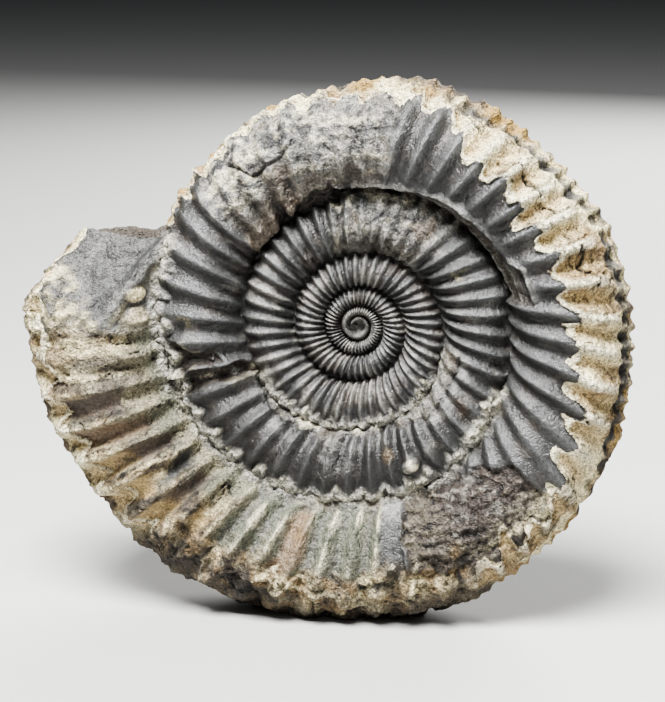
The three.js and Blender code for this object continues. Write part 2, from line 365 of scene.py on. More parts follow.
def rib_shape(count, across):
    """Ridges on the flank that split in two over the rim. 1 on a crest, -1 in a groove."""
    split = ramp(across, 0.85, 1.2)
    return (1 - split) * scallop(count) + SPLIT_RIB_HEIGHT * split * scallop(2 * count + 0.5)


class Relief:
    """Gathers what stands off the smooth coil at each point, and how the stone is coloured there.

    tint colours the stone and crust_tint the crust on it. crust is above 0 where the crust lies, grit is
    how grainy the surface is, and matte how dull.
    """

    def __init__(self, surface):
        amount = len(surface.t)
        self.surface = surface
        self.angle = surface.angle
        self.across = surface.across
        self.whorl = surface.whorl
        self.front = ~surface.back
        self.smooth = surface.points(np.zeros(amount))
        self.rough = soft_noise(self.smooth, 2.4, 11, 4)
        self.drift = soft_noise(self.smooth, 3.4, 16, 4)
        self.fine = soft_noise(self.smooth, 0.8, 21, 2)
        self.broad = soft_noise(self.smooth, 9.0, 31, 2)
        counted = ribs_before(surface.t, surface.whorl, surface.across)
        self.count = counted + 0.04 * soft_noise(self.smooth, 5.0, 41)
        self.ribs = rib_shape(self.count, surface.across)
        self.groove = np.clip(-self.ribs, 0, 1)
        self.crest = ramp(self.ribs, 0.2, 0.95)
        self.rib_share = 1 + 0.15 * self.broad
        self.height = 0.07 * self.rough * np.minimum(surface.size / 20, 1)
        self.tint = np.tile(GRAPHITE, (amount, 1))
        self.crust_tint = np.tile(CREAM, (amount, 1))
        self.crust = np.full(amount, -0.5)
        self.grit = np.full(amount, 0.15)
        self.matte = np.full(amount, 0.15)

    def place(self, whorl, angles, across=(-1, 2), soft=1.0, ragged=0.05, side_soft=0.025):
        """1 inside a stretch of the front's whorl, between angles and between values of v."""
        along = window(self.angle + DEGREES_PER_V * ragged * self.drift, *angles, soft)
        return along * window(self.across + ragged * self.rough, *across, side_soft) * self.on(whorl)

    def on(self, whorl):
        return (self.whorl == whorl) & self.front

    def stand(self, where, amount):
        self.height = self.height + where * amount

    def wear_ribs(self, where, left):
        self.rib_share = self.rib_share * mix(1, left, where)

    def paint(self, where, colour):
        self.tint = mix(self.tint, colour, np.clip(where, 0, 1)[:, None])

    def paint_crust(self, where, colour):
        self.crust_tint = mix(self.crust_tint, colour, np.clip(where, 0, 1)[:, None])

    def paint_all(self, where, colour):
        self.paint(where, colour)
        self.paint_crust(where, colour)

    def grain(self, where, grit, matte):
        self.grit = mix(self.grit, grit, where)
        self.matte = mix(self.matte, matte, where)

    def lumps(self, where, size, seed):
        """Rounded lumps from 0 to 1, worked out only where they are wanted."""
        dome = np.zeros(len(where))
        wanted = where > 0.01
        nearest, _ = cells(self.smooth[wanted], size, seed)
        dome[wanted] = np.sqrt(np.clip(1 - (nearest / 0.8) ** 2, 0, 1))
        return dome

    def chip_edges(self, where, size, seed):
        """1 on the edges between broken chips of the given size, worked out only where wanted."""
        edges = np.zeros(len(where))
        wanted = where > 0.01
        moved = self.smooth[wanted] + 0.5 * self.fine[wanted, None] + 0.4 * self.drift[wanted, None]
        _, gap = cells(moved, size, seed)
        edges[wanted] = 1 - ramp(gap, 0.05, 0.22)
        return edges

    def layers(self, along, across, seed, lean=0.0):
        """Smooth noise from about -1 to 1, longer one way than the other. along and across in mm."""
        out = self.across * self.surface.size * 0.4
        around = np.radians(self.angle) * self.surface.size * 0.85
        apart = self.whorl * 7.3
        flat = np.stack([around / along, (out - lean * around) / across, apart], axis=1)
        return soft_noise(flat + 0.25 * self.rough[:, None], 1.0, seed, 3)

    def flakes(self, along, across, seed, steps=3.0, lean=0.0):
        """Thin ledges from about -1 to 1."""
        wave = self.layers(along, across, seed, lean) * steps
        step = np.floor(wave)
        return (step + ramp(wave - step, 0.75, 1)) / steps

    def cracks(self, along, across, seed, width=0.07):
        """1 on thin cracks that wander through the stone."""
        return 1 - ramp(np.abs(self.layers(along, across, seed)), 0.3 * width, width)

    def result(self):
        fade = mix(0.45, 1, ramp(self.across, 0, 0.3))
        highest = RIB_HEIGHT_RATIO * self.surface.size + LEAST_RIB_HEIGHT
        rib = highest * fade * self.rib_share * self.ribs
        marks = {"tint": self.tint, "crust_tint": self.crust_tint, "crust": self.crust,
                 "grit": self.grit, "matte": self.matte}
        return self.surface.points(self.height + rib, 0.5 * self.rough), marks


def bare_stone(r):
    """Graphite stone: crests lighter, partly as rubbed and partly as a painted highlight, with painted
    shade and brown dust in the grooves.
    """
    r.paint(0.45 * ramp(r.broad, -0.2, 0.8), DARK)
    # Painted shade in the grooves.
    r.paint(0.25 * r.groove, DARK)
    # Lighter crests: partly rubbed, partly a painted highlight.
    r.paint(0.3 * ramp(r.ribs + 0.25 * r.rough, 0.4, 0.95), PEWTER)
    inner = r.whorl > 1
    r.paint(0.35 * inner * ramp(r.drift, 0.1, 0.6), BROWN)
    # Painted highlight on the inner whorls' crests, broken up by noise.
    r.paint(0.65 * inner * r.crest * ramp(r.fine + r.rough, -0.2, 0.6), LIGHT_GREY)
    r.wear_ribs(r.place(0, (318, 344), soft=8, ragged=0), 0.55)
    r.paint(0.45 * ramp(r.rough + r.fine, 0.5, 1.1) * (r.whorl > 0), PALE_GREY)
    r.paint(0.3 * r.groove * ramp(r.rough, 0, 0.6), BROWN)
    middle = ramp(r.surface.t, 4, 5)
    r.paint(0.5 * middle, PALE_GREY)
    # Painted highlight on the centre's crests and painted shade in its grooves.
    r.paint(0.5 * middle * r.crest, LIGHT_GREY)
    r.paint(0.6 * middle * r.groove, DARK)
    r.paint(0.3 * ramp(r.fine + r.rough, 0.6, 1.2), PALE_GREY)


def facet(r):
    """The smooth grey facet beside the mouth, with a pale ridge and two lumps of crust under it."""
    where = r.place(0, (100, 181), soft=1.5)
    below = 0.05 + 0.021 * (r.angle - 161) - r.across
    r.wear_ribs(where, 0)
    flakes = r.flakes(4, 1.6, 101, lean=0.25)
    r.stand(where, 0.14 * flakes)
    r.paint(where, GREY)
    r.paint(0.5 * where * ramp(-flakes - 0.5 * r.drift, -0.4, 0.4), GRAPHITE)
    r.paint(0.5 * where * ramp(flakes + 0.8 * r.fine, 0.1, 1.0), PALE_GREY)
    r.grain(where, 0.4, 0.4)
    ridge = where * bell(below + 0.02 * r.rough, 0.035)
    r.stand(ridge, 0.5)
    r.paint(0.7 * ridge, PALE_GREY)
    shade = where * window(below + 0.03 * r.rough, -0.17, -0.05, 0.03)
    r.paint(0.7 * shade, GRAPHITE)
    under = where * ramp(below + 0.03 * r.rough, 0.02, 0.06)
    ledges = r.flakes(2.6, 2.2, 102)
    r.stand(under, 0.4 * ledges)
    r.paint(0.7 * under * ramp(ledges + r.fine, -0.4, 0.3), CREAM_GREY)
    ragged = where * ramp(r.across + 0.016 * (r.angle - 170) + 0.12 * r.rough, 0.56, 0.66)
    edges = r.chip_edges(ragged, 2.6, 103) * ragged
    r.stand(ragged, 0.4 * ledges - 0.1)
    r.stand(edges, 0.4)
    r.paint(0.6 * ragged * ramp(r.drift, -0.1, 0.6), CREAM_GREY)
    r.paint(0.8 * ragged * r.cracks(2.0, 1.5, 104), DARK_BROWN)
    r.paint(0.7 * edges * ramp(r.fine + r.drift, -0.4, 0.3), CREAM)
    for angle, across, share in ((171.5, 0.19, 0.9), (177, 0.18, 0.4)):
        away = np.hypot((r.angle - angle) / 2.6, (r.across - across) / 0.09) + 0.3 * r.drift
        lump = (1 - ramp(away, 0.6, 1.0)) * r.on(0)
        r.stand(lump, 0.5)
        r.paint(share * lump, CREAM)


def broken_ribs(r):
    """Crumbly, layered ribs with smooth hollows between them, and smoother stone towards the seam."""
    where = r.place(0, (180, 237), soft=2.5)
    outer = where * ramp(r.across + 0.12 * r.rough, 0.22, 0.4)
    flakes = r.flakes(1.2, 4.5, 111, steps=4)
    cracks = where * r.cracks(1.3, 3.2, 112, 0.12) * ramp(r.rough + r.drift, -0.8, -0.1)
    r.wear_ribs(outer, 0.85)
    r.stand(outer, 0.45 * flakes + 0.1 * r.fine)
    r.paint(where, CREAM_GREY)
    r.paint(0.7 * where * ramp(r.broad + r.drift, -0.3, 0.5), GREEN_GREY)
    r.paint(0.6 * outer * ramp(r.broad + r.drift, -0.5, 0.4), TAN)
    r.paint(0.7 * outer * ramp(flakes + 0.5 * r.fine, 0.1, 0.7), CREAM)
    r.paint(0.8 * outer * ramp(-flakes + 0.3 * r.rough, 0.1, 0.5), BROWN_GREY)
    r.paint(where * ramp(r.across, 0.82, 0.95) * ramp(r.rough, -0.3, 0.3), TAN)
    r.grain(where, 0.9, 0.7)
    for rib, low, high, hollow_colour in HOLLOWS:
        aside = np.abs(r.count - rib) + 0.08 * r.drift
        length = window(r.across + 0.1 * r.drift, low, high, 0.06) * r.on(0)
        inside = (1 - ramp(aside, 0.24, 0.36)) * length
        edge = bell(aside - 0.38, 0.05) * length
        r.stand(inside, -0.4 - 0.3 * flakes)
        r.paint(inside, hollow_colour)
        r.paint(0.6 * inside * ramp(r.drift, 0.1, 0.8), BROWN_GREY)
        r.stand(edge, 0.3)
        r.paint(0.7 * edge * ramp(r.count - rib, -0.1, 0.1), DARK_BROWN)
        r.grain(inside, 0.3, 0.5)
        cracks = cracks * (1 - inside)
    r.stand(cracks, -0.45)
    r.paint(0.95 * cracks, DARK_BROWN)


def green_ribs(r):
    """Pale greenish ribs under the crust, with painted shade in the grooves, painted highlights on the
    crests, a tan band and fine cracks.
    """
    where = r.place(0, (234, 281), (-1, 0.78), 2)
    flakes = r.flakes(1.6, 1.6, 221)
    r.paint(where, GREEN_GREY)
    # Painted shade in the grooves, broken up by noise.
    r.paint(0.7 * where * ramp(r.groove + 0.8 * r.rough, 0.1, 1.0), GREY)
    r.paint(0.5 * where * ramp(r.fine + r.rough, 0.1, 0.9), CREAM_GREY)
    # Painted highlight on the crests.
    r.paint(0.8 * where * ramp(r.ribs + 0.6 * r.rough, 0.7, 1.1), PALE_CREAM)
    left_part = ramp(-r.angle - 4 * r.rough, -262, -256)
    rough_part = where * ramp(r.across + 0.15 * r.rough, 0.38, 0.5) * left_part
    r.stand(rough_part, 0.4 * flakes)
    r.paint(0.7 * rough_part * ramp(flakes, 0.1, 0.5), CREAM_GREY)
    r.paint(0.7 * where * r.cracks(2.2, 3.0, 222, 0.05), DARK_BROWN)
    r.grain(where, 0.6, 0.55)
    band = r.place(0, (252.5, 259), (0.16, 0.85), 0.8, 0.06)
    r.paint(0.9 * band, BROWN_SAND)
    r.paint(0.7 * band * ramp(r.rough, -0.1, 0.5), ORANGE_TAN)
    inner = where * (1 - ramp(r.across + 0.04 * r.rough, 0.12, 0.14))
    r.wear_ribs(inner, 0.2)
    r.paint(0.6 * inner * ramp(r.rough, -0.2, 0.3), PINK_GREY)
    r.stand(inner, 0.3)
    smooth = r.place(0, (279.5, 285.5), (0.03, 0.62), 0.5, 0.02)
    r.paint(smooth, GRAPHITE)
    r.paint(0.8 * smooth * (1 - ramp(r.across + 0.1 * r.rough, 0.15, 0.3)), PALE_GREY)
    r.wear_ribs(smooth, 0)
    r.grain(smooth, 0.2, 0.1)


def lumpy_crust(r):
    """Lumps of crust along the lower rim."""
    where = r.place(0, (228, 300), (0.6, 1.7), 3, 0.08, 0.04)
    lumps = r.lumps(where, 2.1, 121)
    small = r.lumps(where, 0.8, 122)
    r.stand(where, 0.55 * lumps + 0.3 * small - 0.3 + 0.15 * r.rough)
    r.wear_ribs(where, 0.5)
    r.paint_all(where, BROWN_GREY)
    r.paint_all(0.8 * where * ramp(lumps + 0.6 * r.drift, 0.4, 1.0), TAN)
    r.paint_all(0.7 * where * ramp(r.fine + r.rough + r.drift, 0.2, 1.0), CREAM_GREY)
    r.paint_all(0.8 * where * ramp(small + 0.7 * r.drift, 0.9, 1.4), CREAM)
    r.paint_all(0.85 * where * ramp(r.across + 0.12 * r.drift, 0.82, 1.02), BROWN_GREY)
    # Painted shade between the lumps.
    r.paint_all(where * ramp(-lumps - 0.4 * r.rough, -0.4, 0.05), DARK)
    r.grain(where, 1, 0.9)


def granular_patch(r):
    """A dark brown patch where the shell has flaked away, with a grainy, slantwise streaked floor."""
    low = np.interp(r.angle, (285, 299, 307, 316, 326), (0.02, 0.03, 0.12, 0.25, 0.5)) + 0.05 * r.rough
    where = r.place(0, (286, 325), (-1, 0.8), 1.0, 0.06) * ramp(r.across, low - 0.01, low + 0.02)
    lumps = r.lumps(where, 0.9, 131)
    slant = r.flakes(4.5, 0.8, 132, lean=0.35)
    pale = ramp(r.across + 0.1 * r.rough, 0.55, 0.68) + 0.6 * (1 - ramp(r.angle + 6 * r.rough, 290, 302))
    r.wear_ribs(where, 0.05)
    r.stand(where, -0.85 + 0.35 * lumps + 0.3 * slant + 0.2 * r.fine)
    r.paint(where, PURPLE_BROWN)
    r.paint(0.75 * where * ramp(slant + 0.7 * r.fine + 0.3 * r.rough, 0.2, 0.8), PINK_GREY)
    r.paint(0.5 * where * ramp(r.fine + r.rough, 0.4, 1.0), LIGHT_GREY)
    # Painted shade between the lumps.
    r.paint(0.8 * where * ramp(-lumps - 0.4 * r.fine, -0.5, 0.0), DARK)
    r.paint(0.6 * where * pale * ramp(lumps + 0.5 * r.fine, 0.3, 0.9), CREAM_GREY)
    r.grain(where, 1, 0.6)
    band = r.place(0, (286, 327), (0.76, 1.02), 2, 0.06)
    flakes = r.flakes(2.5, 1.4, 133)
    r.stand(band, 0.4 * flakes + 0.25)
    r.wear_ribs(band, 0.5)
    r.paint_all(0.8 * band, BROWN_GREY)
    r.paint_all(0.9 * band * ramp(flakes + 0.4 * r.rough, -0.1, 0.4), CREAM_GREY)
    r.paint_all(0.7 * band * ramp(flakes + r.fine, 0.2, 0.8), CREAM)
    r.grain(band, 1, 0.9)


def front_crust(r):
    """The cream crust along the rim, with a tongue down each groove and raised, ragged edges."""
    tongue = ramp(0.5 + 0.5 * np.cos(2 * np.pi * (r.count - 0.45)), 0.15, 0.8)
    each = soft_noise(np.stack([1.3 * r.count, 0 * r.count, 0 * r.count], axis=1), 1.0, 142)
    edge = np.interp(r.angle, CRUST_ANGLES, CRUST_EDGES) + 0.05 - (0.1 + 0.08 * each) * tongue
    field = r.across - edge - 0.04 * r.rough - 0.03 * r.drift - 0.02 * r.fine
    field = np.where(r.on(0), field, -0.5)
    r.crust = np.clip(field, -0.5, 0.5)
    where = ramp(field, -0.005, 0.012)
    lip = bell(field - 0.03, 0.025) * where
    cup = where * r.groove * ramp(field, 0.05, 0.09) * (1 - ramp(r.across, 0.97, 1.03))
    flakes = r.flakes(4, 2.5, 141)
    r.stand(where, 0.3 + 0.12 * r.fine)
    r.stand(lip, 0.3 + 0.2 * r.rough)
    r.stand(where * (1 - cup), 0.4 * flakes + 0.2 * r.rough)
    r.stand(cup, -0.35)
    side = (r.count + 0.5) % 1 - 0.5
    crevice = bell(side - 0.16 - 0.12 * r.rough, 0.035) * ramp(field, 0.03, 0.07)
    crevice = crevice * (1 - ramp(r.across, 0.95, 1.0)) * ramp(r.drift, -0.5, 0.0)
    r.stand(crevice, -0.5)
    r.paint_crust(0.85 * crevice, DARK_BROWN)
    r.paint_crust(ramp(r.broad + 0.6 * r.rough + 0.3 * r.drift, -0.1, 0.7), TAN)
    r.paint_crust(0.9 * cup, CUP_TAN)
    r.paint_crust(0.8 * ramp(r.rough - r.fine, 0.75, 1.2), BROWN_GREY)
    r.paint_crust(lip, PALE_CREAM)
    r.paint_crust(where * r.crest * (1 - ramp(r.across, 1.0, 1.1)), PALE_CREAM)
    fine_cracks(r, where, 143)
    crust_crack(r, where)


def fine_cracks(r, where, seed):
    """Thin dark cracks in the crust, which is grainy and dull."""
    broken = where * r.cracks(2.6, 2.0, seed, 0.06) * ramp(r.broad + r.drift, -0.3, 0.3)
    r.stand(broken, -0.3)
    r.paint_crust(0.8 * broken, DARK_BROWN)
    r.grain(where, 0.8, 0.95)


def crust_crack(r, crusted):
    """A dark crack that runs through the crust at the right, with a step up behind it."""
    line = 0.82 - 0.03 * np.cos(2 * np.pi * (r.count - 0.5)) + 0.06 * r.rough
    beside = crusted * window(r.angle, 372, 424, 4)
    crack = bell(r.across - line, 0.012) * beside * ramp(r.drift + r.rough, -0.4, 0.1)
    r.stand(crack, -0.6)
    r.stand(beside * ramp(r.across, line, line + 0.02), 0.3)
    r.paint_all(crack, DARK)


def rim(r):
    """Ochre and grey matrix on the rim and all round to the back, with the grooves between the split ribs
    of its bare stretch cut deeper and darkened as painted shade.
    """
    outer = r.whorl == 0
    spots = soft_noise(r.smooth, 5, 151, 3) + 0.5 * r.drift + 0.3 * r.rough
    r.wear_ribs(ramp(r.across, 1.0, 1.15) * outer, 0.8)
    r.wear_ribs(window(r.angle, 150, 310, 10) * ramp(r.across, 0.95, 1.1) * outer, 0.6)
    top = np.clip(1 - np.hypot((r.angle - 438) / 24, (r.across - 1.5) / 0.5), 0, 1) * outer
    r.stand(top, 1.6)
    bare = window(r.angle, 330, 432, 4) * window(r.across + 0.06 * r.drift, 1.06, 1.27, 0.03) * r.front
    # The grooves of the bare stretch: cut deeper, and painted dark as shade.
    shaded_groove = bare * ramp(-r.ribs + 0.5 * r.rough, -0.5, 0.3)
    r.paint_crust(0.9 * bare * ramp(r.drift, -0.6, 0.1), GREY)
    r.paint_crust(0.8 * shaded_groove, DARK)
    r.stand(shaded_groove, -0.3)
    behind = ramp(r.across + 0.12 * spots, 1.2, 1.36) * outer
    r.paint_crust(behind * ramp(spots, -0.1, 0.35), OCHRE)
    r.paint_crust(behind * ramp(-spots, 0.15, 0.5), BROWN_GREY)
    dull = window(r.angle, 160, 300, 10) * ramp(r.across, 0.95, 1.1) * outer
    r.paint_crust(0.7 * dull * ramp(spots + r.rough, -0.7, 0.2), BROWN_GREY)
    r.paint_crust(0.6 * dull * ramp(-spots - r.rough, 0.2, 0.9), DARK)
    lumps = r.lumps(ramp(r.across, 1.05, 1.1) * outer, 2.2, 152)
    r.stand(ramp(r.across, 1.05, 1.2) * outer, 0.3 * lumps - 0.1 + 0.2 * r.rough)


def abraded(r):
    """Rubbed, mottled stretches at the top of the outer whorl and of the one inside it."""
    for whorl, angles, left in ((0, (440, 470), 0.55), (0, (470, 500), 0.75), (1, (409, 464), 0.85)):
        where = r.place(whorl, angles, soft=3, ragged=0.08)
        flakes = r.flakes(1.8, 1.0, 161 + whorl)
        pits = ramp(r.rough + 0.6 * r.fine, 0.45, 0.9)
        r.wear_ribs(where, left)
        r.stand(where, (0.14 * flakes + 0.1 * r.fine - 0.25 * pits) * (1 - 0.4 * whorl))
        r.paint((0.8 - 0.25 * whorl) * where * ramp(r.fine + 0.5 * r.rough, -0.5, 0.3), LIGHT_GREY)
        r.paint(0.6 * where * ramp(flakes + r.fine, 0.3, 0.9), PALE_CREAM)
        r.paint(0.6 * where * pits, BROWN)
        near_seam = 1 - ramp(r.across + 0.2 * r.rough, 0.25, 0.55)
        r.paint((0.8 - 0.3 * whorl) * where * near_seam, BROWN_GREY)
        r.grain(where, 0.7, 0.4)
    step = np.interp(r.angle, (468, 475, 484, 491), (0.72, 0.62, 0.6, 0.88)) + 0.015 * r.rough
    beside = r.place(0, (468, 491), soft=0.6, ragged=0)
    crack = bell(r.across - step, 0.018) * beside
    r.stand(beside * ramp(r.across, step - 0.01, step + 0.01), 0.4)
    r.stand(crack, -0.4)
    low = r.place(0, (470, 500), (-1, 0.62), 3, 0.1)
    # Painted shade in the grooves towards the seam.
    r.paint(0.7 * low * r.groove, DARK_BROWN)
    r.paint(0.6 * low * ramp(r.drift, -0.1, 0.5), BROWN)
    r.paint(crack, DARK)


def seam_lip(r):
    """A thin raised lip over the top seam, with a painted shadow below it and the whorl inside it built out
    towards it.
    """
    lip_at = np.interp(r.angle, LIP_ANGLES, LIP_PLACES) + 0.012 * r.rough
    along = r.place(0, (373, 459), soft=1.5, ragged=0)
    r.wear_ribs(along * (1 - ramp(r.across, lip_at + 0.02, lip_at + 0.12)), 0.15)
    under = along * (1 - ramp(r.across, lip_at - 0.02, lip_at))
    r.stand(r.place(1, (373, 459), soft=5, ragged=0) * ramp(r.across, 0.65, 1.0), 1.1)
    r.stand(under, -1.1 * (1 - ramp(r.across, 0, lip_at)))
    lip = along * bell(r.across - lip_at - 0.01, 0.025)
    r.stand(lip, 0.7 + 0.5 * r.rough)
    r.paint(0.8 * lip * ramp(r.rough, -0.5, 0.3), PALE_GREY)
    streaks = r.flakes(9, 0.8, 171)
    r.stand(under, 0.35 * streaks)
    r.paint(under, BROWN_GREY)
    r.paint(0.7 * under * ramp(streaks + 0.4 * r.fine, -0.1, 0.5), PALE_GREY)
    # Painted shadow just below the lip.
    r.paint(0.9 * under * ramp(r.across, lip_at - 0.09, lip_at - 0.04), DARK_BROWN)
    r.grain(under, 1, 0.7)
    shade = r.place(0, (437, 512), (-1, 0.2), 2, 0.05)
    r.paint(0.7 * shade, DARK_BROWN)
    r.stand(shade, 0.4 * r.rough)
    for angles, across in (((471, 480), (0.12, 0.27)), ((486, 502), (0.04, 0.24))):
        where = r.place(0, angles, across, 1, 0.04)
        r.stand(where, 0.5 + 0.5 * r.lumps(where, 1.5, 172))
        r.paint(where, PINK_GREY)
    dark = r.place(1, (392, 455), (-1, 0.22), 3, 0.04)
    r.paint(0.5 * dark * ramp(r.rough, -0.2, 0.4), PALE_GREY)
    r.stand(dark, 0.2 * r.rough)


def seam_crumbs(r):
    """A band of pale crumbs along the outer seam, which hangs into the whorl inside it."""
    along = window(r.angle, 158, 340, 3)
    hang = r.across + 0.06 * r.groove + 0.07 * r.rough
    inner_along = window(r.angle, 212, 334, 8)
    inside = along * ramp(hang, 0.82, 0.86) * r.on(1) + inner_along * ramp(hang, 0.8, 0.85) * r.on(2)
    outside = along * (1 - ramp(r.across + 0.03 * r.rough, 0.06, 0.1)) * r.on(0)
    where = inside + outside
    lumps = r.lumps(where, 1.25, 181)
    small = r.lumps(where, 0.7, 182)
    r.wear_ribs(where, 0.3)
    r.stand(inside, 0.8)
    r.stand(outside, 0.7)
    r.stand(where, 0.7 * lumps + 0.3 * small - 0.4 + 0.2 * r.drift)
    r.paint(where, PALE_GREY)
    r.paint(0.9 * where * ramp(lumps + 0.5 * r.drift, 0.2, 0.8), LIGHT_GREY)
    r.paint(0.5 * where * ramp(small + 0.5 * r.rough, 0.5, 1.1), PALE_CREAM)
    # Painted shade between the crumbs.
    r.paint(0.8 * where * ramp(-lumps - 0.3 * r.fine, -0.3, 0.1), DARK)
    r.grain(where, 0.9, 0.8)


def inner_breaks(r):
    """Two fissured hollows on the second whorl, and small marks beside the patch of crumbs."""
    for angles, low in (((189, 197), 0.3), ((199, 205.5), 0.08)):
        where = r.place(1, angles, (low, 0.97), 0.6, 0.1)
        around = r.place(1, (angles[0] - 1.5, angles[1] + 1.5), (low - 0.06, 1.0), 0.6, 0.1) - where
        flakes = r.flakes(1.0, 5, 191)
        r.wear_ribs(where, 0.4)
        r.stand(where, -0.55 + 0.5 * flakes)
        r.stand(np.clip(around, 0, 1), 0.3 + 0.3 * r.rough)
        r.paint(where, BROWN_GREY)
        r.paint(0.8 * where * ramp(-flakes, 0.1, 0.4), DARK_BROWN)
        r.paint(0.7 * where * ramp(flakes + 0.5 * r.fine, 0.35, 0.7), CREAM_GREY)
        r.paint(0.6 * np.clip(around, 0, 1) * ramp(r.rough, -0.3, 0.3), CREAM_GREY)
        r.grain(where, 0.8, 0.8)
    for angle, across, reach, colour_of in MARKS:
        away = np.hypot((r.angle - angle) / reach, (r.across - across) / (reach / 30)) + 0.45 * r.drift
        where = (1 - ramp(away, 0.6, 1.0)) * r.on(1) * ramp(r.fine + r.rough, -0.7, 0.0)
        r.paint(0.8 * where, colour_of)
        r.stand(where, 0.1 + 0.25 * r.rough)
        r.grain(where, 0.9, 0.7)


def inner_ledge(r):
    """A broken ledge of pale flakes along the inner part of the second whorl's lower half."""
    edges = np.interp(r.angle, (207, 228, 246, 290, 312, 345), (0.04, 0.2, 0.2, 0.14, 0.3, 0.33))
    ledge_at = edges + 0.04 * r.rough + 0.02 * np.cos(2 * np.pi * r.count)
    along = r.place(1, (207, 350), soft=3, ragged=0)
    r.paint(0.5 * r.place(1, (205, 300), (0.2, 0.92), 8), DARK)
    where = along * (1 - ramp(r.across, ledge_at, ledge_at + 0.015))
    crack = along * bell(r.across - ledge_at, 0.018) * ramp(r.drift, -0.5, 0.0)
    flakes = r.flakes(2.0, 1.2, 201)
    r.wear_ribs(where, 0.6)
    r.stand(where, 0.3 + 0.35 * flakes)
    r.paint(where, PALE_GREY)
    r.paint(0.7 * where * ramp(flakes + r.fine, 0.2, 0.8), PALE_CREAM)
    r.paint(0.6 * where * ramp(-flakes + r.rough, 0.2, 0.8), BROWN_GREY)
    r.paint(0.5 * where * ramp(r.broad, 0, 0.5), PINK_GREY)
    r.stand(crack, -0.35)
    r.paint(crack, DARK)
    beyond = along * window(r.across - ledge_at + 0.06 * r.rough, 0.03, 0.17, 0.03)
    r.paint(0.6 * beyond * ramp(r.fine + r.rough, -0.2, 0.5), PALE_GREY)
    r.grain(where, 0.8, 0.6)


def pebble(r):
    """A pebble stuck to the second whorl."""
    away = np.hypot((r.angle - 296) / 4.0, (r.across - 0.66) / 0.09) + 0.1 * r.rough
    dome = np.sqrt(np.clip(1 - away ** 2, 0, 1)) * r.on(1)
    r.wear_ribs(ramp(dome, 0, 0.3), 0.1)
    r.stand(dome, 1.1)
    r.paint(ramp(dome, 0.1, 0.3), GREY)
    r.paint(ramp(dome, 0.3, 0.8) * ramp(r.fine, -0.2, 0.4), PALE_CREAM)


def back(r):
    """The unseen side: crust over the outer part, matrix in the seams and a few rubbed stretches."""
    behind = r.surface.back
    edge = 0.8 + 0.14 * soft_noise(r.smooth, 14, 211, 2)
    tongue = (0.5 + 0.5 * np.cos(2 * np.pi * (r.count - 0.42))) ** 1.5
    field = r.across - edge + 0.11 * tongue - 0.04 * r.rough
    field = np.where(behind & (r.whorl == 0), field, -0.5)
    r.crust = np.where(behind, np.clip(field, -0.5, 0.5), r.crust)
    where = ramp(field, -0.005, 0.02)
    r.stand(where * (1 - ramp(r.across, 1.02, 1.1)), 0.3 + 0.3 * r.flakes(4, 2.5, 212) + 0.2 * r.rough)
    r.paint_crust(behind * ramp(r.broad + 0.6 * r.rough, 0.1, 0.7), TAN)
    r.paint_crust(0.8 * where * r.groove * (1 - ramp(r.across, 0.95, 1.05)), CUP_TAN)
    fine_cracks(r, where, 215)
    low = behind * (r.whorl < 3) * (1 - ramp(r.across + 0.05 * r.rough, 0.07, 0.12))
    lumps = r.lumps(low, 1.5, 213)
    r.stand(low, 0.6 * lumps - 0.1)
    r.paint(low, BROWN_GREY)
    r.paint(0.8 * low * ramp(lumps + 0.6 * r.drift, 0.4, 1.0), LIGHT_GREY)
    rubbed = behind * ramp(soft_noise(r.smooth, 18, 214, 2), 0.25, 0.5)
    r.wear_ribs(rubbed, 0.5)
    r.paint(0.7 * rubbed * ramp(r.rough, -0.4, 0.3), CREAM_GREY)
    r.grain(rubbed, 0.8, 0.6)


# What lies on the stone, from the lowest layer to the topmost
FEATURES = (
    bare_stone, green_ribs, broken_ribs, facet, abraded, granular_patch, front_crust, back, rim,
    lumpy_crust, inner_breaks, inner_ledge, pebble, seam_lip, seam_crumbs,
)


def sculpt(surface):
    """Every point of a surface with all that stands on it, and the marks that colour it."""
    r = Relief(surface)
    for feature in FEATURES:
        feature(r)
    return r.result()


def turns_of_columns():
    """t at each column, from the mouth inwards."""
    parts = []
    for whorl, count in enumerate(COLUMNS_PER_TURN):
        parts.append(whorl + np.arange(int(count * DETAIL)) / int(count * DETAIL))
    parts.append([float(TURNS)])
    return np.concatenate(parts)


class Mesh:
    """Gathers grids of surface points and the faces between and across them."""

    def __init__(self):
        self.points = []
        self.marks = []
        self.faces = []
        self.count = 0

    def add(self, surface):
        points, marks = sculpt(surface)
        self.points.append(points)
        self.marks.append(marks)
        return self.take(len(points))

    def take(self, amount):
        first = self.count
        self.count += amount
        return np.arange(first, self.count)

    def quads(self, index, flip):
        """Faces over a grid of point numbers, columns first."""
        a, b = index[:-1, :-1].ravel(), index[1:, :-1].ravel()
        c, d = index[1:, 1:].ravel(), index[:-1, 1:].ravel()
        corners = [a, d, c, b] if flip else [a, b, c, d]
        quads = np.stack(corners, axis=1)
        self.faces.append(quads[:, [0, 1, 2]])
        self.faces.append(quads[:, [0, 2, 3]])

    def zip(self, lower, lower_key, upper, upper_key, flip):
        """Triangles between two rows that run side by side."""
        faces = []
        i = 0
        j = 0
        while i < len(lower) - 1 or j < len(upper) - 1:
            step_lower = lower_key[i + 1] if i < len(lower) - 1 else np.inf
            step_upper = upper_key[j + 1] if j < len(upper) - 1 else np.inf
            if step_lower <= step_upper:
                faces.append((lower[i], lower[i + 1], upper[j]))
                i += 1
            else:
                faces.append((upper[j], lower[i], upper[j + 1]))
                j += 1
        faces = np.array(faces)
        self.faces.append(faces[:, ::-1] if flip else faces)

    def fan(self, centre, edge, flip):
        turned = np.roll(edge, -1)
        faces = np.stack([np.full(len(edge), centre), edge, turned], axis=1)
        self.faces.append(faces[:, ::-1] if flip else faces)


def grid(mesh, turns, rows):
    t, v = np.meshgrid(turns, rows, indexing="ij")
    return mesh.add(Surface(t.ravel(), v.ravel())).reshape(t.shape)


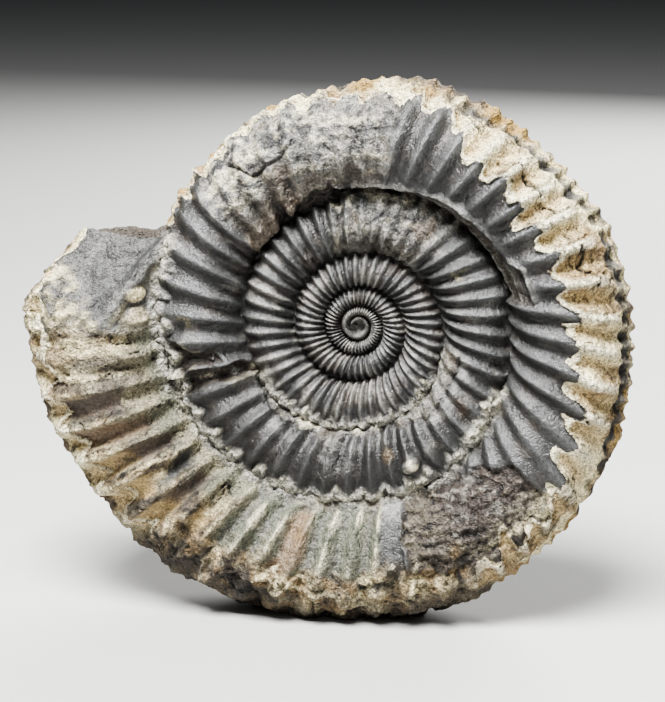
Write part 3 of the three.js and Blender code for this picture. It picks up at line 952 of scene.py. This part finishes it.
def add_side(mesh, turns, rows, flip):
    """One side's flank. rows run from just off the inner seam to the outer seam."""
    index = grid(mesh, turns, rows)
    mesh.quads(index, flip)
    inside = np.searchsorted(turns, 1.0)
    last = np.searchsorted(turns, TURNS - 1.0)
    seam = index[inside:, -1]
    seam_key = azimuth_of(turns[inside:], np.full(len(seam), rows[-1])) - 360
    first_key = azimuth_of(turns[:last + 1], np.full(last + 1, rows[0]))
    mesh.zip(seam, seam_key, index[:last + 1, 0], first_key, flip)
    centre = mesh.add(Surface(np.array([float(TURNS)]), np.array([rows[-1]])))
    mesh.points[-1][:, [0, 2]] = 0
    mesh.fan(centre[0], np.concatenate([index[last:, 0], index[-1, 1:]]), not flip)
    return index


def add_rim(mesh, turns, front, back):
    """The rim of the outermost whorl, between the front's and the back's outer rows."""
    last = np.searchsorted(turns, 1.0)
    rows = np.linspace(1, 2, int(RIM_ROWS * DETAIL) + 1)[1:-1]
    middle = grid(mesh, turns[:last + 1], rows)
    index = np.concatenate([front[:last + 1, -1:], middle, back[:last + 1, -1:]], axis=1)
    mesh.quads(index, False)
    return index


def sunk_rings(start, end):
    """Rings of points from the mouth's edge to the whorl inside it, sunk inwards, and their noise."""
    rings = int(MOUTH_RINGS * DETAIL)
    share = (np.arange(1, rings) / rings)[None, :, None]
    between = start[:, None] * (1 - share) + end[:, None] * share
    rough = soft_noise(between.reshape(-1, 3), 3.5, 91, 4).reshape(between.shape[:2])
    sunk = np.sin(np.pi * share) ** 0.6 * (0.9 + 1.1 * rough[:, :, None])
    azimuth = math.radians(BREAK_AT_RIM)
    inward = np.array([-math.sin(azimuth), 0, math.cos(azimuth)])
    return between + sunk * inward, rough


def mouth_marks(rough):
    """The look of the broken face: bare, grainy stone, brown and pale grey."""
    tint = mix(BROWN_GREY, PALE_GREY, ramp(rough, -0.3, 0.6)[:, None])
    one = np.ones(len(rough))
    return {"tint": tint, "crust_tint": tint, "crust": -0.5 * one, "grit": 0.8 * one, "matte": 0.7 * one}


def add_mouth(mesh, turns, front, rim, back):
    """The broken face of the mouth, from its edge down to the rim of the whorl inside it."""
    inside = np.searchsorted(turns, 1.0)
    floor = rim[inside]
    edge = np.concatenate([floor[:1], front[0], rim[0, 1:-1], back[0, ::-1], floor[-1:]])
    points = np.concatenate(mesh.points)
    along = np.linspace(0, 1, len(edge))
    floor_points = points[floor]
    spots = np.linspace(0, 1, len(floor))
    target = np.stack([np.interp(along, spots, floor_points[:, k]) for k in range(3)], axis=1)
    rings, rough = sunk_rings(points[edge[1:-1]], target[1:-1])
    index = mesh.take(rough.size).reshape(rough.shape)
    mesh.points.append(rings.reshape(-1, 3))
    mesh.marks.append(mouth_marks(rough.ravel()))
    whole = np.concatenate([edge[1:-1, None], index], axis=1)
    mesh.quads(whole, False)
    inner = np.concatenate([floor[:1], index[:, -1], floor[-1:]])
    mesh.zip(floor, spots, inner, along, True)
    for corner, column in ((edge[0], whole[0]), (edge[-1], whole[-1])):
        flip = corner == edge[-1]
        fan = np.stack([np.full(len(column) - 1, corner), column[:-1], column[1:]], axis=1)
        mesh.faces.append(fan[:, ::-1] if flip else fan)


def build_shell():
    turns = turns_of_columns()
    mesh = Mesh()
    front_rows = np.linspace(0, 1, int(FRONT_ROWS * DETAIL) + 1)[1:]
    back_rows = np.linspace(3, 2, int(BACK_ROWS * DETAIL) + 1)[1:]
    front = add_side(mesh, turns, front_rows, False)
    back = add_side(mesh, turns, back_rows, True)
    rim = add_rim(mesh, turns, front, back)
    add_mouth(mesh, turns, front, rim, back)
    points = np.concatenate(mesh.points) + AXIS
    points[:, 2] = np.maximum(points[:, 2], 0)
    marks = {name: np.concatenate([part[name] for part in mesh.marks]) for name in mesh.marks[0]}
    return points * MM, np.concatenate(mesh.faces), marks


def in_scene(name, data):
    """A new object with this data, linked to the scene."""
    thing = bpy.data.objects.new(name, data)
    bpy.context.scene.collection.objects.link(thing)
    return thing


def mesh_object(name, points, faces, marks):
    data = bpy.data.meshes.new(name)
    data.vertices.add(len(points))
    data.vertices.foreach_set("co", points.ravel())
    data.loops.add(faces.size)
    data.loops.foreach_set("vertex_index", faces.ravel().astype(np.int32))
    data.polygons.add(len(faces))
    data.polygons.foreach_set("loop_start", np.arange(0, faces.size, 3, dtype=np.int32))
    data.update(calc_edges=True)
    for mark, values in marks.items():
        is_colour = values.ndim == 2
        attribute = data.attributes.new(mark, "FLOAT_COLOR" if is_colour else "FLOAT", "POINT")
        attribute.data.foreach_set("color" if is_colour else "value", values.astype(np.float32).ravel())
    return in_scene(name, data)


def thin(thing, most):
    """Collapses the flattest places until at most so many triangles are left."""
    count = len(thing.data.polygons)
    if count <= most:
        return
    modifier = thing.modifiers.new("thin", "DECIMATE")
    modifier.ratio = most / count
    graph = bpy.context.evaluated_depsgraph_get()
    lighter = bpy.data.meshes.new_from_object(
        thing.evaluated_get(graph), preserve_all_data_layers=True, depsgraph=graph)
    thing.modifiers.clear()
    thing.data = lighter


class Nodes:
    """Short ways to add and link shader nodes."""

    def __init__(self, material):
        material.use_nodes = True
        self.tree = material.node_tree
        self.tree.nodes.clear()
        self.place = self.add("ShaderNodeTexCoord", {}).outputs["Object"]

    def add(self, kind, inputs, **settings):
        """A node with the given settings. Each named input gets a value or a link."""
        node = self.tree.nodes.new(kind)
        for name, value in settings.items():
            setattr(node, name, value)
        for name, value in inputs.items():
            self.feed(node.inputs[name], value)
        return node

    def feed(self, socket, value):
        if isinstance(value, bpy.types.NodeSocket):
            self.tree.links.new(value, socket)
        else:
            socket.default_value = value

    def mark(self, name, output="Fac"):
        """One of the mesh's marks as a number, or as a colour with the output Color."""
        return self.add("ShaderNodeAttribute", {}, attribute_name=name).outputs[output]

    def noise(self, size, detail):
        """Noise with bumps of the given size in millimetres, from 0 to 1."""
        inputs = {"Vector": self.place, "Scale": 1 / (size * MM), "Detail": detail,
                  "Roughness": NOISE_ROUGHNESS}
        return self.add("ShaderNodeTexNoise", inputs).outputs["Fac"]

    def math(self, operation, *values):
        node = self.add("ShaderNodeMath", {}, operation=operation)
        for socket, value in zip(node.inputs, values):
            self.feed(socket, value)
        return node.outputs[0]

    def scale(self, colour_in, factor):
        inputs = {"Vector": colour_in, "Scale": factor}
        return self.add("ShaderNodeVectorMath", inputs, operation="SCALE").outputs["Vector"]

    def ramp(self, value, low, high, start=0.0, end=1.0):
        inputs = {"Value": value, "From Min": low, "From Max": high, "To Min": start, "To Max": end}
        return self.add("ShaderNodeMapRange", inputs, interpolation_type="SMOOTHSTEP").outputs["Result"]

    def blend(self, share, a, b):
        """Colour a where share is 0, and b where it is 1."""
        inputs = {"Factor": share, "A": a, "B": b}
        return self.add("ShaderNodeMix", inputs, data_type="RGBA").outputs["Result"]


def stone_material():
    """Stone and crust in the mesh's own tints, with a ragged line between them, fine grain and painted
    shade at the foot of each ledge.
    """
    material = bpy.data.materials.new("fossil_stone")
    nodes = Nodes(material)
    small = nodes.noise(SMALL_GRAIN, 4)
    speckle = nodes.noise(FINE_GRAIN, 2)

    shift = nodes.math("MULTIPLY", nodes.math("SUBTRACT", small, 0.5), 0.05)
    crusted = nodes.ramp(nodes.math("ADD", nodes.mark("crust"), shift), 0.0, 0.008)
    base = nodes.blend(crusted, nodes.mark("tint", "Color"), nodes.mark("crust_tint", "Color"))
    grit = nodes.mark("grit")
    contrast = nodes.math("MULTIPLY_ADD", grit, 0.6, 2.0)
    light = nodes.math("ADD", nodes.math("SUBTRACT", speckle, 0.5), nodes.math("SUBTRACT", small, 0.5))
    ledge = nodes.math("FRACT", nodes.math("MULTIPLY", nodes.noise(LEDGE_SIZE, 4), LEDGE_STEPS))
    # Painted shade at the foot of each ledge, stronger where the stone is grittier.
    foot_shade = nodes.math("MULTIPLY", nodes.ramp(ledge, 0.0, 0.14, -0.75, 0.0), grit)
    light = nodes.math("MULTIPLY_ADD", light, contrast, foot_shade)
    base = nodes.scale(base, nodes.math("ADD", light, 1.0))

    relief = nodes.math("ADD", nodes.math("MULTIPLY", small, grit), nodes.math("MULTIPLY", speckle, 0.6))
    relief = nodes.math("MULTIPLY_ADD", ledge, nodes.math("MULTIPLY", grit, 0.7), relief)
    bump = nodes.add("ShaderNodeBump", {"Strength": 1.0, "Distance": BUMP_HEIGHT * MM, "Height": relief})

    roughness = nodes.math("MULTIPLY_ADD", nodes.mark("matte"), MATTE_ROUGHNESS, LEAST_ROUGHNESS)
    looks = {"IOR": STONE_IOR, "Base Color": base, "Roughness": roughness, "Normal": bump.outputs["Normal"]}
    shader = nodes.add("ShaderNodeBsdfPrincipled", looks)
    nodes.add("ShaderNodeOutputMaterial", {"Surface": shader.outputs["BSDF"]})
    return material


def make_ammonite():
    shell = mesh_object("ammonite_shell", *build_shell())
    thin(shell, MAX_TRIANGLES)
    shell.data.shade_smooth()
    shell.data.materials.append(stone_material())
    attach(shell, "root")
    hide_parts("ammonite")


def make_floor():
    bpy.ops.mesh.primitive_plane_add(size=FLOOR_SIZE)
    floor = bpy.context.object
    floor.name = "floor"
    material = bpy.data.materials.new("pale_floor")
    material.use_nodes = True
    shader = material.node_tree.nodes["Principled BSDF"]
    shader.inputs["Base Color"].default_value = FLOOR_GREY
    shader.inputs["Roughness"].default_value = FLOOR_ROUGHNESS
    floor.data.materials.append(material)


def soft_light(name, place, size, power):
    """A rectangular lamp that faces the fossil. Place and size in metres, power in watts."""
    light = bpy.data.lights.new(name, "AREA")
    light.shape = "RECTANGLE"
    light.size = size[0]
    light.size_y = size[1]
    light.energy = power
    thing = in_scene(name, light)
    thing.location = place
    thing.rotation_euler = (Vector(LIGHT_AIM) - Vector(place)).to_track_quat("-Z", "Y").to_euler()


def make_light():
    world = bpy.data.worlds.new("studio")
    world.use_nodes = True
    background = world.node_tree.nodes["Background"]
    background.inputs["Color"].default_value = WORLD_COLOUR
    background.inputs["Strength"].default_value = WORLD_STRENGTH
    bpy.context.scene.world = world
    bpy.context.scene.view_settings.look = "AgX - High Contrast"
    soft_light("top_softbox", (-0.04, -0.28, 0.58), (0.3, 0.25), 14)
    soft_light("front_fill", (0.35, -0.7, 0.35), (0.5, 0.5), 0.6)
    soft_light("back_fill", (0.15, 0.6, 0.4), (0.5, 0.5), 7)


def make_camera():
    azimuth = math.radians(CAMERA_AZIMUTH)
    elevation = math.radians(CAMERA_ELEVATION)
    level = math.cos(elevation)
    away = Vector((math.sin(azimuth) * level, -math.cos(azimuth) * level, math.sin(elevation)))
    data = bpy.data.cameras.new("camera")
    data.sensor_fit = "HORIZONTAL"
    data.sensor_width = 36
    data.lens = FOCAL_PIXELS / PHOTO_WIDTH * data.sensor_width
    data.clip_start = 0.01
    camera = in_scene("camera", data)
    camera.location = CAMERA_TARGET + away * CAMERA_DISTANCE
    camera.rotation_euler = (-away).to_track_quat("-Z", "Y").to_euler()
    bpy.context.scene.camera = camera


make_camera()
make_light()
make_floor()
make_ammonite()
